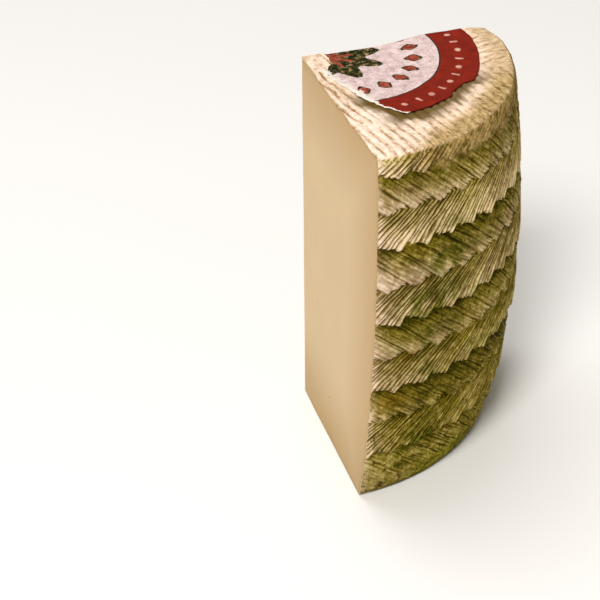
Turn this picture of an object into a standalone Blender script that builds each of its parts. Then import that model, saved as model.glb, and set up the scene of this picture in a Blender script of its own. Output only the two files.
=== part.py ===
"""A quarter of an aged sheep's milk cheese, with a torn piece of its round paper label on top.

The drum is turned, its side takes the plaited relief of a woven belt, its top takes
the straight ridges of a pressing board, two straight knife cuts free the quarter,
and small eyes open in the cut faces. Lengths are metres, +Z is up, the base lies at
z = 0 and the middle of the rind faces -Y.
"""

import math
import random

import bmesh
import bpy
from mathutils import Matrix, Vector

# The drum: height, widest radius and how its side draws in above and below.
DRUM_HEIGHT = 0.120
WIDEST_RADIUS = 0.0746
WIDEST_HEIGHT = 0.0616
TOP_DRAW_IN = 0.0043
FOOT_DRAW_IN = 0.0064
FOOT_ROUND_IN = 0.0017
FOOT_ROUND_UP = 0.0160
RIM_ROUND = 0.0022

# The drum's axis in the part's frame, whose origin is under the middle of the piece.
DRUM_AXIS = Vector((-0.001355, 0.038585, 0.0))

# The two knife cuts meet in a leaning line, given from the drum's axis.
CUT_LINE_FOOT = Vector((-0.0037, -0.0070, 0.0))
CUT_LINE_TOP = Vector((0.0064, -0.0019, DRUM_HEIGHT))
LEFT_CUT_HEADING = math.radians(-137.18)
RIGHT_CUT_HEADING = math.radians(-42.82)

# The plaited belt: rows of slanting straw from the top rim down, leaning in turn
# right and left. The straw lies in leaves of a few ridges, one leaf over the next.
BELT_ROWS = (0.0057, 0.0105, 0.0119, 0.0123, 0.0118, 0.0119, 0.0122, 0.0115, 0.0137, 0.0185)
LEAVES_ROUND = 50
RIDGES_PER_LEAF = 5
POINTS_PER_LEAF = 2 * RIDGES_PER_LEAF
RIDGE_DEPTH = 0.00055
LEAF_STEP = 0.00055
LEAF_TIP_STEP = 0.0013
ROW_OVERLAP = 0.0007
RIGHT_ROW_LIFT = 0.00055
LEFT_ROW_LIFT = 0.00025
ROW_SINK = 0.00035
HAND_WOBBLE = 0.00012

# Rings of the rounded rim, as (slope there, share of the grooves left there).
RIM_RINGS = ((math.radians(90.0), 0.0), (math.radians(45.0), 0.4))
# Rings of the lowest row, as (share of the row, share of the grooves left there).
FOOT_RINGS = ((0.35, 0.9), (0.65, 0.7), (0.86, 0.5), (1.0, 0.0))

# The top: straight ridges of the pressing board, in two fields.
TOP_RIDGE_PITCH = 0.0033
TOP_RIDGE_DEPTH = 0.0004
TOP_SKIM = 0.0001
FIELD_BORDER_X = 0.026
FIELD_OVERLAP = 0.0004
FRONT_FIELD_HEADING = math.radians(-127.0)
SIDE_FIELD_HEADING = math.radians(-33.0)

# The eyes in the cut faces, as (face, number, smallest radius, largest radius).
EYES = ((LEFT_CUT_HEADING, 3, 0.0004, 0.0007), (RIGHT_CUT_HEADING, 13, 0.0006, 0.0015))
EYE_STRETCH = (1.6, 1.0, 0.8)
EYE_TILT = 0.5
EYE_FROM_ENDS = 0.012
EYE_FROM_CUT_LINE = (0.008, 0.055)

# The paper label: a disc on the top, torn across, with a curling front edge.
LABEL_CENTRE = Vector((0.0091, -0.0098, 0.0))
LABEL_RADIUS = 0.047
LABEL_THICKNESS = 0.0003
LABEL_GAP = 0.0003
LABEL_CURL = 0.0010
LABEL_CURL_WIDTH = 0.014
LABEL_CURL_HEADING = math.radians(-100.0)
LABEL_EDGE_INSET = 0.0008
TEAR = (
    Vector((-0.0190, -0.0520, 0.0)),
    Vector((-0.0165, -0.0450, 0.0)),
    Vector((-0.0152, -0.0385, 0.0)),
    Vector((-0.0140, -0.0330, 0.0)),
    Vector((-0.0085, -0.0245, 0.0)),
    Vector((-0.0035, -0.0160, 0.0)),
    Vector((0.0045, -0.0045, 0.0)),
)
TEAR_STEP = 0.0020
TEAR_RAGGED = 0.0007

CUTTER_REACH = 0.2
CUTTER_MARGIN = 0.012

chance = random.Random(12)
eye_chance = random.Random(7)


def clear_scene():
    for thing in list(bpy.data.objects):
        bpy.data.objects.remove(thing, do_unlink=True)


def collection(name):
    made = bpy.data.collections.new(name)
    bpy.context.scene.collection.children.link(made)
    return made


def material(name, colour, roughness):
    made = bpy.data.materials.new(name)
    made.use_nodes = True
    shader = made.node_tree.nodes["Principled BSDF"]
    shader.inputs["Base Color"].default_value = (*colour, 1.0)
    shader.inputs["Roughness"].default_value = roughness
    shader.inputs["Metallic"].default_value = 0.0
    return made


def add_object(name, mesh, home, finish=None):
    thing = bpy.data.objects.new(name, mesh)
    home.objects.link(thing)
    if finish:
        mesh.materials.append(finish)
    return thing


def mesh_from(shape, name):
    mesh = bpy.data.meshes.new(name)
    shape.to_mesh(mesh)
    shape.free()
    return mesh


def add_cutter(name, shape):
    shape.normal_update()
    bmesh.ops.recalc_face_normals(shape, faces=shape.faces)
    cutter = add_object(name, mesh_from(shape, name), cutters)
    cutter.hide_render = True
    cutter.display_type = "WIRE"
    return cutter


def add_boolean(thing, cutter, operation):
    step = thing.modifiers.new(cutter.name, "BOOLEAN")
    step.operation = operation
    step.solver = "EXACT"
    step.object = cutter


def heading(angle):
    return Vector((math.cos(angle), math.sin(angle), 0.0))


def smooth(low, high, value):
    share = min(max((value - low) / (high - low), 0.0), 1.0)
    return share * share * (3.0 - 2.0 * share)


def side_radius(z):
    """Radius of the drum's side at a height, before the belt's relief."""
    if z > WIDEST_HEIGHT:
        share = (z - WIDEST_HEIGHT) / (DRUM_HEIGHT - WIDEST_HEIGHT)
        return WIDEST_RADIUS - TOP_DRAW_IN * share**2
    share = (WIDEST_HEIGHT - z) / WIDEST_HEIGHT
    foot = min(max((FOOT_ROUND_UP - z) / FOOT_ROUND_UP, 0.0), 1.0)
    rounding = FOOT_ROUND_IN * (1.0 - math.sqrt(1.0 - foot**2))
    return WIDEST_RADIUS - FOOT_DRAW_IN * share**2 - rounding


def belt_rings():
    """Rings of the side from the rim down, as (z, lift, tip step, ridge share, turn).

    lift is how far the ring stands out from the plain side, tip step how far the
    leaf tips reach past each other, ridge share how deep the grooves are there, and
    turn how far the slanting straw has run round the drum.
    """
    half = ROW_OVERLAP / 2.0
    rings = []
    for slope, ridge_share in RIM_RINGS:
        drop = RIM_ROUND * (1.0 - math.sin(slope))
        inset = RIM_ROUND * (1.0 - math.cos(slope))
        rings.append((DRUM_HEIGHT - drop, -inset, 0.0, ridge_share, -drop))
    height = DRUM_HEIGHT
    turn = 0.0
    for number, row in enumerate(BELT_ROWS):
        leans_right = number % 2 == 0
        lean = -1.0 if leans_right else 1.0
        if number == 0:
            rings.append((height - RIM_ROUND, 0.0, 0.0, 1.0, -RIM_ROUND))
        else:
            rings.append((height - half, -ROW_SINK, -lean * LEAF_TIP_STEP, 1.0, turn + lean * half))
        if number == len(BELT_ROWS) - 1:
            for share, ridge_share in FOOT_RINGS:
                rings.append((height - share * row, 0.0, 0.0, ridge_share, turn + lean * share * row))
            break
        height -= row
        turn += lean * row
        lift = RIGHT_ROW_LIFT if leans_right else LEFT_ROW_LIFT
        rings.append((height + half, lift, lean * LEAF_TIP_STEP, 1.0, turn - lean * half))
    return rings


def belt_relief(column, ring, wobble):
    """Radial and vertical shift of one point of the belt's relief."""
    _, lift, tip_step, ridge_share, _ = ring
    place = column % POINTS_PER_LEAF
    last_crest = POINTS_PER_LEAF - 2
    across = min(place, last_crest) / last_crest - 0.5
    groove = RIDGE_DEPTH if place % 2 else 0.0
    outward = lift + ridge_share * (LEAF_STEP * across - groove + wobble[column])
    tip = 0.0 if place > last_crest else across
    return outward, tip_step * tip


def pressed_drum(home, finish):
    """The whole drum, turned from its profile and then pressed by the belt."""
    rings = belt_rings()
    columns = LEAVES_ROUND * POINTS_PER_LEAF
    profile = bmesh.new()
    corners = [profile.verts.new((side_radius(ring[0]), 0.0, ring[0])) for ring in rings]
    for upper, lower in zip(corners, corners[1:]):
        profile.edges.new((upper, lower))
    bmesh.ops.spin(
        profile,
        geom=profile.verts[:] + profile.edges[:],
        cent=(0.0, 0.0, 0.0),
        axis=(0.0, 0.0, 1.0),
        angle=math.tau,
        steps=columns,
        use_merge=True,
    )
    wobble = [chance.uniform(-HAND_WOBBLE, HAND_WOBBLE) for _ in range(columns)]
    heights = [ring[0] for ring in rings]
    for point in profile.verts:
        ring = rings[min(range(len(rings)), key=lambda place: abs(heights[place] - point.co.z))]
        column = round(math.atan2(point.co.y, point.co.x) / math.tau * columns) % columns
        outward, upward = belt_relief(column, ring, wobble)
        radius = side_radius(ring[0]) + outward
        angle = math.tau * column / columns + ring[4] / WIDEST_RADIUS
        point.co = Vector((0.0, 0.0, ring[0] + upward)) + radius * heading(angle)
    rims = [edge for edge in profile.edges if edge.is_boundary]
    bmesh.ops.holes_fill(profile, edges=rims, sides=0)
    profile.normal_update()
    bmesh.ops.recalc_face_normals(profile, faces=profile.faces)
    return add_object("wedge", mesh_from(profile, "wedge"), home, finish)


def knife_cuts():
    """The block between the two knife cuts: a cube sheared onto their directions."""
    lean = (CUT_LINE_TOP - CUT_LINE_FOOT) / DRUM_HEIGHT
    foot = CUT_LINE_FOOT - lean * CUTTER_MARGIN
    reach = lean * (DRUM_HEIGHT + 2.0 * CUTTER_MARGIN)
    left = heading(LEFT_CUT_HEADING) * CUTTER_REACH
    right = heading(RIGHT_CUT_HEADING) * CUTTER_REACH
    shape = bmesh.new()
    bmesh.ops.create_cube(shape, size=1.0, matrix=Matrix.Translation((0.5, 0.5, 0.5)))
    shear = Matrix((left, right, reach)).transposed().to_4x4()
    shape.transform(Matrix.Translation(foot) @ shear)
    return add_cutter("knife_cuts", shape)


def board_ridges(name, direction, low_x, high_x):
    """A comb that leaves straight ridges on the top between two values of x."""
    along = heading(direction)
    across = Vector((-along.y, along.x, 0.0))
    crest = Vector((0.0, 0.0, DRUM_HEIGHT - TOP_SKIM))
    groove = Vector((0.0, 0.0, DRUM_HEIGHT - TOP_SKIM - TOP_RIDGE_DEPTH))
    roof = Vector((0.0, 0.0, DRUM_HEIGHT + CUTTER_MARGIN))
    ridges = int(WIDEST_RADIUS / TOP_RIDGE_PITCH) + 1
    outline = []
    for step in range(-2 * ridges, 2 * ridges + 1):
        level = groove if step % 2 else crest
        outline.append(across * (step * TOP_RIDGE_PITCH / 2.0) + level)
    outline.append(across * (ridges * TOP_RIDGE_PITCH) + roof)
    outline.append(across * (-ridges * TOP_RIDGE_PITCH) + roof)
    shape = bmesh.new()
    start = shape.faces.new([shape.verts.new(spot - along * CUTTER_REACH / 2.0) for spot in outline])
    grown = bmesh.ops.extrude_face_region(shape, geom=[start])["geom"]
    ends = [item for item in grown if isinstance(item, bmesh.types.BMVert)]
    bmesh.ops.translate(shape, verts=ends, vec=along * CUTTER_REACH)
    for bound, outside in ((low_x, -1.0), (high_x, 1.0)):
        everything = shape.verts[:] + shape.edges[:] + shape.faces[:]
        cut = bmesh.ops.bisect_plane(
            shape,
            geom=everything,
            plane_co=(bound, 0.0, 0.0),
            plane_no=(outside, 0.0, 0.0),
            clear_outer=True,
        )
        rim = [item for item in cut["geom_cut"] if isinstance(item, bmesh.types.BMEdge)]
        bmesh.ops.holes_fill(shape, edges=rim, sides=0)
    return add_cutter(name, shape)


def eye_cutter():
    """Small flattened hollows whose middles lie on the two cut faces."""
    shape = bmesh.new()
    for direction, count, smallest, largest in EYES:
        for _ in range(count):
            height = eye_chance.uniform(EYE_FROM_ENDS, DRUM_HEIGHT - EYE_FROM_ENDS)
            line = CUT_LINE_FOOT.lerp(CUT_LINE_TOP, height / DRUM_HEIGHT)
            middle = line + heading(direction) * eye_chance.uniform(*EYE_FROM_CUT_LINE)
            size = smallest + (largest - smallest) * eye_chance.random() ** 2
            stretch = Matrix.Diagonal((*EYE_STRETCH, 1.0))
            turn = Matrix.Rotation(eye_chance.uniform(-EYE_TILT, EYE_TILT), 4, "Y")
            face = Matrix.Rotation(direction, 4, "Z")
            place = Matrix.Translation(middle) @ face @ turn @ stretch
            bmesh.ops.create_icosphere(shape, subdivisions=1, radius=size, matrix=place)
    return add_cutter("eyes", shape)


def label_curl(spot):
    """How far the paper stands off the top: its free edge curls up at the front."""
    from_centre = spot - LABEL_CENTRE
    rise = smooth(LABEL_RADIUS - LABEL_CURL_WIDTH, LABEL_RADIUS, from_centre.length)
    turned = math.atan2(from_centre.y, from_centre.x) - LABEL_CURL_HEADING
    faces_front = smooth(-0.2, 1.0, math.cos(turned))
    return LABEL_CURL * rise * faces_front


def paper_disc(home, finish):
    """The round label: rings of points that follow the curl, given its thickness."""
    rings = 9
    spokes = 72
    shape = bmesh.new()
    spoke = [shape.verts.new((LABEL_RADIUS * ring / rings, 0.0, 0.0)) for ring in range(1, rings + 1)]
    for inner, outer in zip(spoke, spoke[1:]):
        shape.edges.new((inner, outer))
    bmesh.ops.spin(
        shape,
        geom=shape.verts[:] + shape.edges[:],
        cent=(0.0, 0.0, 0.0),
        axis=(0.0, 0.0, 1.0),
        angle=math.tau,
        steps=spokes,
        use_merge=True,
    )
    hole = [edge for edge in shape.edges if edge.is_boundary and edge.verts[0].co.length < LABEL_RADIUS / 2.0]
    bmesh.ops.holes_fill(shape, edges=hole, sides=0)
    for point in shape.verts:
        spot = point.co + LABEL_CENTRE
        lift = Vector((0.0, 0.0, DRUM_HEIGHT + LABEL_GAP + label_curl(spot)))
        point.co = spot + lift
    shape.normal_update()
    bmesh.ops.recalc_face_normals(shape, faces=shape.faces)
    label = add_object("label", mesh_from(shape, "label"), home, finish)
    sheet = label.modifiers.new("paper", "SOLIDIFY")
    sheet.thickness = LABEL_THICKNESS
    sheet.offset = 1.0
    return label


def tear_and_cut():
    """The part of the label that is left: right of the torn edge, inside the knife's cut."""
    right = heading(RIGHT_CUT_HEADING)
    inward = Vector((right.y, -right.x, 0.0))
    cut_start = CUT_LINE_TOP + inward * LABEL_EDGE_INSET
    cut_start.z = 0.0
    corners = []
    for start, end in zip(TEAR, TEAR[1:]):
        steps = round((end - start).length / TEAR_STEP)
        along = (end - start).normalized()
        sideways = Vector((-along.y, along.x, 0.0))
        for step in range(steps):
            ragged = sideways * chance.uniform(-TEAR_RAGGED, TEAR_RAGGED)
            corners.append(start.lerp(end, step / steps) + ragged)
    corners.append(TEAR[-1])
    corners.append(cut_start + right * 0.002)
    corners.append(cut_start + right * CUTTER_REACH)
    corners.append(Vector((0.0, -CUTTER_REACH, 0.0)))
    corners.append(TEAR[0] + Vector((0.0, -CUTTER_REACH / 4.0, 0.0)))
    shape = bmesh.new()
    low = Vector((0.0, 0.0, DRUM_HEIGHT - CUTTER_MARGIN))
    start = shape.faces.new([shape.verts.new(spot + low) for spot in corners])
    grown = bmesh.ops.extrude_face_region(shape, geom=[start])["geom"]
    tops = [item for item in grown if isinstance(item, bmesh.types.BMVert)]
    bmesh.ops.translate(shape, verts=tops, vec=(0.0, 0.0, 2.0 * CUTTER_MARGIN))
    return add_cutter("tear", shape)


clear_scene()
cheese_parts = collection("aged_cheese_quarter")
cutters = collection("cutters")
cheese = material("cheese", (0.62, 0.45, 0.22), 0.6)
paper = material("paper", (0.55, 0.16, 0.12), 0.7)

front_field = board_ridges("front_field", FRONT_FIELD_HEADING, -CUTTER_REACH, FIELD_BORDER_X)
side_field = board_ridges("side_field", SIDE_FIELD_HEADING, FIELD_BORDER_X - FIELD_OVERLAP, CUTTER_REACH)
wedge = pressed_drum(cheese_parts, cheese)
add_boolean(wedge, knife_cuts(), "INTERSECT")
add_boolean(wedge, front_field, "DIFFERENCE")
add_boolean(wedge, side_field, "DIFFERENCE")
add_boolean(wedge, eye_cutter(), "DIFFERENCE")

label = paper_disc(cheese_parts, paper)
add_boolean(label, tear_and_cut(), "INTERSECT")

frame = bpy.data.objects.new("frame", None)
cheese_parts.objects.link(frame)
frame.location = DRUM_AXIS
for thing in list(cheese_parts.objects) + list(cutters.objects):
    if thing is not frame:
        thing.parent = frame
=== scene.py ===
"""Looks of a quarter of aged sheep's milk cheese with a torn round paper label.

The drum's side carries the relief of a plaited belt, its top the ridges of a pressing
board. Two knife cuts free the quarter. Lengths are metres and +Z is up. All is made
round the drum's axis and then moved, as the part's origin is under its middle. An arc
is a length round the side, from the middle of the rind, which faces -Y. Of a pair for
smooth(), the first value is where a soft step starts, the second where it is complete.
"""

import math
import random
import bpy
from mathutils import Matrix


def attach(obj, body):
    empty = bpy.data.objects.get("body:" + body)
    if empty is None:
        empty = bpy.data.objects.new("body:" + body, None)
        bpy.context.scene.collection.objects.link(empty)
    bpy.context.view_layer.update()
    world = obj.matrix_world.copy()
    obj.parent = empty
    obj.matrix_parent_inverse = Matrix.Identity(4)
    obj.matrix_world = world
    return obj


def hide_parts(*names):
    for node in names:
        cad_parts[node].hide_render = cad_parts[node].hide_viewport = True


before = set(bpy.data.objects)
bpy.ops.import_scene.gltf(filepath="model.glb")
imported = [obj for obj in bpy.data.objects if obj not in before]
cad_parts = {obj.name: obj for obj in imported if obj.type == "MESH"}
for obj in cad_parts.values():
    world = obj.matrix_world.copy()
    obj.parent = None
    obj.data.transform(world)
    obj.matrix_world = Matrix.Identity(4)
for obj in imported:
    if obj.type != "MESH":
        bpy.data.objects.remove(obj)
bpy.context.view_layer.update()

from types import SimpleNamespace

import bmesh
import bpy
import numpy as np
from mathutils import Matrix, Vector

MM = 0.001

# The drum, as in the CAD: height, widest radius and how its side draws in.
TOP_Z = 0.12
WIDEST_RADIUS = 0.0746
WIDEST_HEIGHT = 0.0616
TOP_DRAW_IN = 0.0043
FOOT_DRAW_IN = 0.0064
FOOT_ROUND_IN = 0.0017
FOOT_ROUND_UP = 0.016
RIM_ROUND = 0.0022
DRUM_AXIS = Vector((-0.001355, 0.038585, 0.0))

# The two knife cuts meet in a leaning line, given from the drum's axis.
CUT_LINE_FOOT = Vector((-0.0037, -0.007, 0.0))
CUT_LINE_TOP = Vector((0.0064, -0.0019, TOP_Z))
LEFT_CUT = math.radians(-137.18)
RIGHT_CUT = math.radians(-42.82)

# The plaited belt: rows of slanting straw from the rim down, leaning right, left, right...
# The straw lies in leaves of a few strands, which stand up as ridges.
BELT_ROWS = (0.0057, 0.0105, 0.0119, 0.0123, 0.0118, 0.0119, 0.0122, 0.0115, 0.0137, 0.0185)
LEAVES_ROUND = 50
LEAF_RIDGES = 5
LEAF_WIDTH = math.tau * WIDEST_RADIUS / LEAVES_ROUND
FOOT_ROW = len(BELT_ROWS) - 1

# How far a strand moves sideways for each length down: it steepens towards its tip.
RIGHT_LEAN_TOP = 1.6
RIGHT_LEAN_FOOT = 0.8
LEFT_LEAN = 1.22
RIM_LEAN = 1.55
STRAND_WANDER = 0.07
STRAND_TREMBLE = 0.045
FAN_CENTRE = 0.3
LAST_RIDGE_WIDER = 1.3

# The belt's relief. Of a pair, the first is for rows that lean right, the second for left.
LEAF_CORNER = (-0.25, -0.75)
TIP_REACH = (0.0025, 0.0022)
TIP_ROUNDING = (0.0004, 0.0002)
GROOVE_DEPTH = (0.0007, 0.0005)
GROOVE_SHARPNESS = (1.7, 2.2)
LEAF_STEP = (0.00042, -0.0003)
ROW_TOP_RISE = (-0.00006, -0.00034)
ROW_FOOT_RISE = (0.00024, -0.00004)
TIP_SWELL = 0.00016
TIP_SWELL_FROM = (0.6, 0.95)
BEADS = (0.00016, 0.00008)
ROUGHNESS = (0.00006, 0.00016)

# Slow, medium and fine unevenness of the rind: (size, height, seed) of its noise.
WEATHERING = ((0.019, 0.00022, 11), (0.0047, 0.00009, 12), (0.0013, 0.000045, 13))
WEATHERING_SINK = 0.00025

# Past the near corner the shoulder is rubbed: lower, without strands, and tan.
WORN_ARCS = (-0.046, -0.026)
WEAR_DEPTH = 0.001
WEAR_END_ARCS = (-0.004, -0.02)
WEAR_HEIGHTS = (TOP_Z - 0.008, TOP_Z)
WEAR_RADII = (0.058, 0.071)
FADE_ARCS = (-0.041, -0.024)
FADE_HEIGHTS = (TOP_Z - 0.011, TOP_Z - 0.0062)
FADE_SHARE = 0.8
FOOT_FADE_HEIGHTS = (0.0035, 0.008)
SHOULDER_HEIGHTS = (TOP_Z - 0.0095, TOP_Z - 0.005)
TAN_ARCS = (-0.046, -0.034)
TAN_END_ARCS = (0.016, 0.034)
TAN_END_LOSS = 0.4
TAN_RADIUS = 0.059
TAN_RADIUS_GAIN = 0.0045
TAN_GAIN_ARCS = (-0.026, -0.04)
TAN_STEP = 0.007

# The top's straight ridges, in two fields.
TOP_RIDGE_PITCH = 0.003
TOP_RIDGE_DEPTH = 0.00085
TOP_LUMPS = 0.00022
TOP_KNOTS = 0.0003
TOP_KNOT_PITCH = 0.0023
TOP_GROOVE_SHARPNESS = 2.5
TOP_WANDER = 0.0005
TOP_TREMBLE = 0.00016
RAGGED_WIDTHS = (0.007, 0.0)
FIELD_BORDER_X = 0.026
FIELD_BORDER_WAVE = 0.0012
FRONT_HEADING = math.radians(-127.0)
SIDE_HEADING = math.radians(-33.0)

# The top swells a little towards the far end of the right cut; its corner is rounded off.
CROWN_HEIGHT = 0.0014
CROWN_ALONG = (0.024, 0.043)
CROWN_INWARD = (0.008, 0.028)
CROWN_HEIGHTS = (TOP_Z - 0.024, TOP_Z - 0.002)
CORNER_LOSS = 0.7
CORNER_ALONG = (0.056, 0.064)
CORNER_INWARD = (0.0, 0.014)

# How finely the surfaces are divided.
POINTS_PER_LEAF = 32
FINE_START = math.radians(-55.0)
FINE_COLUMNS = 496
COARSE_COLUMNS = 32
ROW_STEP = 0.001
EDGE_STEP = 0.0004
EDGE_ZONE = 0.0019
RIM_STEPS = 5
TOP_STEP = 0.0006
TOP_INNER_RADIUS = 0.012
TOP_FADE_RADII = (TOP_INNER_RADIUS, TOP_INNER_RADIUS + 0.004)
TOP_COARSE_RADIUS = 0.034
KNIFE_STEPS = 72
KNIFE_REACH = 0.1
KNIFE_MARGIN = 0.008
KNIFE_WAVE = 0.00016
KNIFE_CHATTER = 0.25
HARD_ANGLE = math.radians(40.0)
LABEL_RINGS = 70
LABEL_SPOKES = 300

# The eyes in the cut faces, as (face, number, smallest radius, largest radius).
EYES = ((LEFT_CUT, 3, 0.0004, 0.0007), (RIGHT_CUT, 13, 0.0006, 0.0015))
EYE_STRETCH = (1.6, 1.0, 0.8)
EYE_TILT = 0.5
EYE_FROM_ENDS = 0.012
EYE_FROM_CUT_LINE = (0.008, 0.055)
EYE_LUMP_SIZE = 0.9
EYE_LUMPS = 0.16

# Patches on the side: (arc, height, half-width, half-height) in millimetres, strength.
DARK_PATCHES = (
    (-33, 112, 7, 5, 0.5), (-28, 94, 10, 5, 0.4), (-31, 84, 8, 5, 1.1), (-37, 71, 11, 7, 1.0),
    (-40, 60, 8, 6, 0.7), (-32, 36, 6, 4, 0.8), (-40, 46.5, 6, 4, 0.6), (-40, 21, 8, 5, 1.1),
    (-14, 44, 9, 6, 0.4), (-45.5, 11.8, 2.6, 2, 1.3),
)
PALE_PATCHES = (
    (-14, 104, 7, 5, 1.0), (-36, 101, 10, 3, 0.7), (-32, 77, 4, 3, 1.2), (-48, 89, 5, 5, 1.0),
    (-40, 82, 5, 4, 0.7), (-48, 76, 6, 4, 0.8), (-13, 78, 7, 5, 0.6), (-14, 59, 7, 5, 1.0),
    (-32, 53, 5, 3, 0.9), (-15, 34, 6, 4, 1.2), (-50, 28, 9, 4, 1.2), (-18, 28, 10, 4, 1.0),
    (-55, 14, 4, 4, 1.2),
)
BROWN_PATCHES = ((-51, 39.2, 5.5, 3, 1.1), (-46.5, 54.5, 4, 2.2, 0.8))
DARK_SPOTS = ((-51.2, 3.4, 1, 1.2, 2.6), (-56, 8.3, 0.6, 0.8, 1.2))

# The rind's tone runs from 0 in a dark groove to 1 on pale straw. Pairs are (right, left).
ROW_TONES = (-0.05, 0.04, 0.07, 0.02, -0.01, 0.02, 0.04, 0.02, 0.05, 0.12)
STRAW_TONE = (0.58, 0.36)
STRAW_TONE_RISE = (0.44, 0.36)
GROOVE_TONE = (1.1, 0.7)
GROOVE_TONE_LOSS = 0.35
GROOVE_LOSS_ARCS = (-0.036, -0.018)
# Painted shade on the strands just under the tips of the row above: how dark, and the widths over which it
# fades.
UNDER_TIP_PAINTED_SHADE = (0.06, 0.24)
UNDER_TIP_SHADE_WIDTHS = (0.0, 0.0034)
NEAR_RIM_TONE = 0.2
NEAR_RIM_ARCS = (-0.043, -0.05)
PALE_RIM_TONE = 0.22
PALE_RIM_ARCS = (-0.034, -0.046)
PALE_PATCH_TONE = 0.13
NEAR_CUT_ARCS = (-0.048, -0.056)
NEAR_CUT_HEIGHTS = (0.102, 0.086)
CUT_EDGE_WIDTHS = (0.0022, 0.0008)
CUT_EDGE_TONE = 0.3
FOOT_TONE = 0.47
# Painted contact shade: the tone drops along the lowest few millimetres of the foot.
FOOT_CONTACT_PAINTED_SHADE = 0.3
FOOT_BAND_HEIGHTS = (0.0085, 0.0055)
FOOT_CONTACT_SHADE_HEIGHTS = (0.003, 0.0006)
TOP_TONE = 1.02
TOP_GROOVE_TONE = 0.9
TAN_TONE = 0.34

# The label.
LABEL_CENTRE = Vector((0.0091, -0.0098, 0.0))
LABEL_RADIUS = 0.047
LABEL_THICKNESS = 0.00022
LABEL_GAP = -0.00004
LABEL_DRAPE = 0.32
LABEL_CURL = 0.00015
LABEL_CURL_WIDTH = 0.014
LABEL_CURL_HEADING = math.radians(-100.0)
LABEL_EDGE_INSET = 0.0008
LABEL_BITE = 0.0013
LABEL_EDGE_WAVES = ((3.0, 0.006, 52), (17.0, 0.004, 55))
LABEL_CRINKLES = ((0.006, 0.00007, 53), (0.0016, 0.00003, 54))
# The torn edge's corners, in millimetres from the drum's axis.
TEAR_CORNERS = [Vector((x * MM, y * MM, 0.0)) for x, y in (
    (-8, -56.5), (-14, -52), (-17.2, -47.5), (-17, -43), (-15.2, -37.5), (-13.8, -33),
    (-8.5, -24.5), (-3.5, -16), (4.5, -4.5),
)]
TEAR_STEP = 0.0007
TEAR_LUMPS = 0.0007
TEAR_LUMP_SIZE = 0.003
TEAR_RAG = 0.0003

# The label's print, in millimetres.
BAND_INNER_RADIUS = 34.8
MARK_RADIUS = 40.6
MARKS_ROUND = 46
ROSETTE_RADIUS = 11.5
BUD_RADIUS = 2.0
PETALS_ROUND = 9
PETAL_DEPTH = 6.0
LOZENGE_RING_RADIUS = 26.2
LOZENGES_ROUND = 22
LOZENGE_REACH = 4.2

# The paste from inside to the rind: (start, end, colour), in millimetres under the rind.
PASTE_LAYERS = (
    (9.0, 26.0, (0.56, 0.378, 0.185)),
    (2.0, 9.0, (0.525, 0.342, 0.148)),
    (0.5, 2.2, (0.43, 0.275, 0.095)),
    (0.1, 0.6, (0.56, 0.43, 0.23)),
)

# The lights: (name, place, size, power, colour). They look at the middle of the cheese.
LIGHTS = (
    ("key", (-1.44, -0.12, 1.66), 0.75, 38.0, (1.0, 0.96, 0.9)),
    ("overhead", (0.26, 0.61, 2.1), 1.4, 17.0, (1.0, 0.98, 0.97)),
)
LIT_MIDDLE = Vector((0.0, 0.0, 0.06))
SKY_COLOUR = (1.0, 0.92, 0.76, 1.0)
SKY_STRENGTH = 0.3
FLOOR_REACH = 4.0
FLOOR_DROP = 0.0002

# The camera: where it stands from the drum's axis, and how it looks.
CAMERA_PLACE = Vector((-0.3836, -0.1967, 0.3068))
CAMERA_HEADING = math.radians(-63.27)
CAMERA_PITCH = math.radians(32.415)
CAMERA_ROLL = math.radians(-0.639)
CAMERA_LENS = 90.0
CAMERA_SENSOR = 36.0

draw = np.random.default_rng(31)
eye_chance = random.Random(7)


# ---- shared helpers


def smooth(low, high, value):
    """A soft step, 0 at low and 1 at high."""
    share = np.clip((value - low) / (high - low), 0, 1)
    return share * share * (3.0 - 2.0 * share)


def blended(share, first, second):
    return first * (1 - share) + second * share


def heading(angle):
    return Vector((math.cos(angle), math.sin(angle), 0.0))


def noise(x, y, z, seed):
    """Smooth noise between -1 and 1: random values on a unit lattice, eased between."""
    table = np.random.default_rng(seed).uniform(-1.0, 1.0, 4096)
    axes = np.broadcast_arrays(x, y, z)
    cells = [np.floor(axis).astype(np.int64) for axis in axes]
    eased = [smooth(0.0, 1.0, axis - cell) for axis, cell in zip(axes, cells)]
    total = np.zeros(axes[0].shape)
    for corner in range(8):
        steps = [(corner >> bit) & 1 for bit in range(3)]
        keys = [cell + step for cell, step in zip(cells, steps)]
        place = (keys[0] * 73856093) ^ (keys[1] * 19349663) ^ (keys[2] * 83492791)
        weight = 1.0
        for ease, step in zip(eased, steps):
            weight *= (ease if step else 1 - ease)
        total += table[place % 4096] * weight
    return total


def layered_noise(x, y, z, layers):
    """Smooth noise of several sizes; a layer is (size, height, seed)."""
    return sum(noise(x / size, y / size, z / size, seed) * high for size, high, seed in layers)


def linked(name, data, materials=()):
    """A new object in the scene."""
    for finish in materials:
        data.materials.append(finish)
    thing = bpy.data.objects.new(name, data)
    bpy.context.scene.collection.objects.link(thing)
    return thing


def new_object(name, points, faces, materials):
    mesh = bpy.data.meshes.new(name)
    mesh.from_pydata([tuple(point) for point in points], [], faces)
    return linked(name, mesh, materials)


def apply_modifiers(thing):
    """Makes the result of an object's modifiers its own mesh."""
    graph = bpy.context.evaluated_depsgraph_get()
    mesh = bpy.data.meshes.new_from_object(thing.evaluated_get(graph))
    thing.modifiers.clear()
    thing.data = mesh


def boolean(thing, cutter, operation):
    step = thing.modifiers.new("cut", "BOOLEAN")
    step.operation = operation
    step.solver = "MANIFOLD"
    step.object = cutter
    apply_modifiers(thing)
    bpy.data.objects.remove(cutter, do_unlink=True)


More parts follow.
